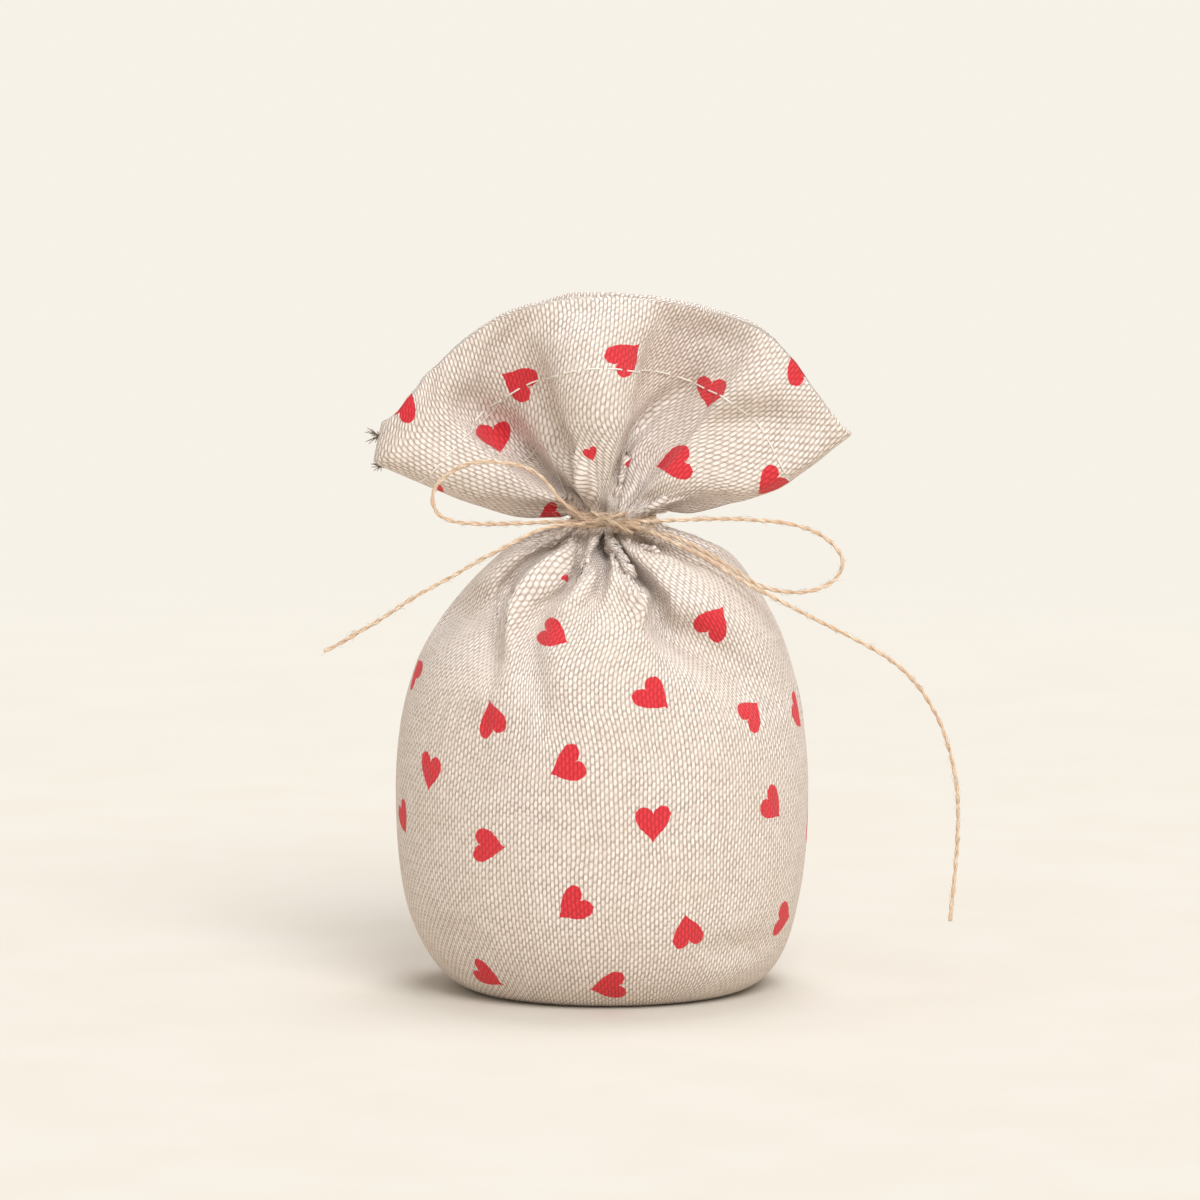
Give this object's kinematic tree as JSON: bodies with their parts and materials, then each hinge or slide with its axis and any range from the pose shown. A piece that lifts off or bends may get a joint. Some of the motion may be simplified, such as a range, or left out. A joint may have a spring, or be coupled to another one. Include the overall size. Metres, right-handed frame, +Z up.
{
  "type": "drawstring pouch",
  "caption": "Small filled linen gift pouch with scattered red hearts, gathered at the neck and tied in a bow with jute twine, its hemmed mouth fanned out above.",
  "frame": {"origin": "on the ground, under the middle of the pouch", "axes": "+Z up, +X to the viewer's right, -Y towards the front with the bow"},
  "size_m": [0.1271, 0.0824, 0.1404],
  "materials": {
    "linen": "oatmeal half-panama weave printed with small red hearts, matt, with slubs",
    "seam_allowance": "raw overlocked edge of the same cloth",
    "filling": "loose dried filling, matt",
    "jute_twine": "two-ply jute twine, matt and hairy"
  },
  "bodies": {
    "pouch": {"front_panel": "linen", "back_panel": "linen", "left_side_seam": "seam_allowance", "right_side_seam": "seam_allowance", "filling": "filling", "neck_wrap": "jute_twine", "bow_knot": "jute_twine"},
    "header": {"front_header": "linen", "back_header": "linen"},
    "left_loop": {"left_loop": "jute_twine"},
    "right_loop": {"right_loop": "jute_twine"},
    "left_tail": {"left_tail": "jute_twine"},
    "right_tail": {"right_tail": "jute_twine"}
  },
  "joints": [
    {"name": "header_tilt", "type": "hinge", "parent": "pouch", "child": "header", "pos_m": [0, 0, 0.0944], "axis": [1, 0, 0], "range_deg": [-20, 25], "stiffness_Nm_per_rad": 0.02},
    {"name": "left_loop_swing", "type": "hinge", "parent": "pouch", "child": "left_loop", "pos_m": [-0.0075, -0.0112, 0.0957], "axis": [0, 1, 0], "range_deg": [-12, 20], "stiffness_Nm_per_rad": 0.003},
    {"name": "right_loop_swing", "type": "hinge", "parent": "pouch", "child": "right_loop", "pos_m": [0.0075, -0.0112, 0.0942], "axis": [0, -1, 0], "range_deg": [-4, 20], "stiffness_Nm_per_rad": 0.003},
    {"name": "left_tail_swing", "type": "hinge", "parent": "pouch", "child": "left_tail", "pos_m": [-0.0075, -0.0129, 0.0946], "axis": [0, 1, 0], "range_deg": [-8, 35], "stiffness_Nm_per_rad": 0.003},
    {"name": "right_tail_swing", "type": "hinge", "parent": "pouch", "child": "right_tail", "pos_m": [0.0075, -0.0129, 0.0932], "axis": [0, -1, 0], "range_deg": [-4, 30], "stiffness_Nm_per_rad": 0.003}
  ]
}
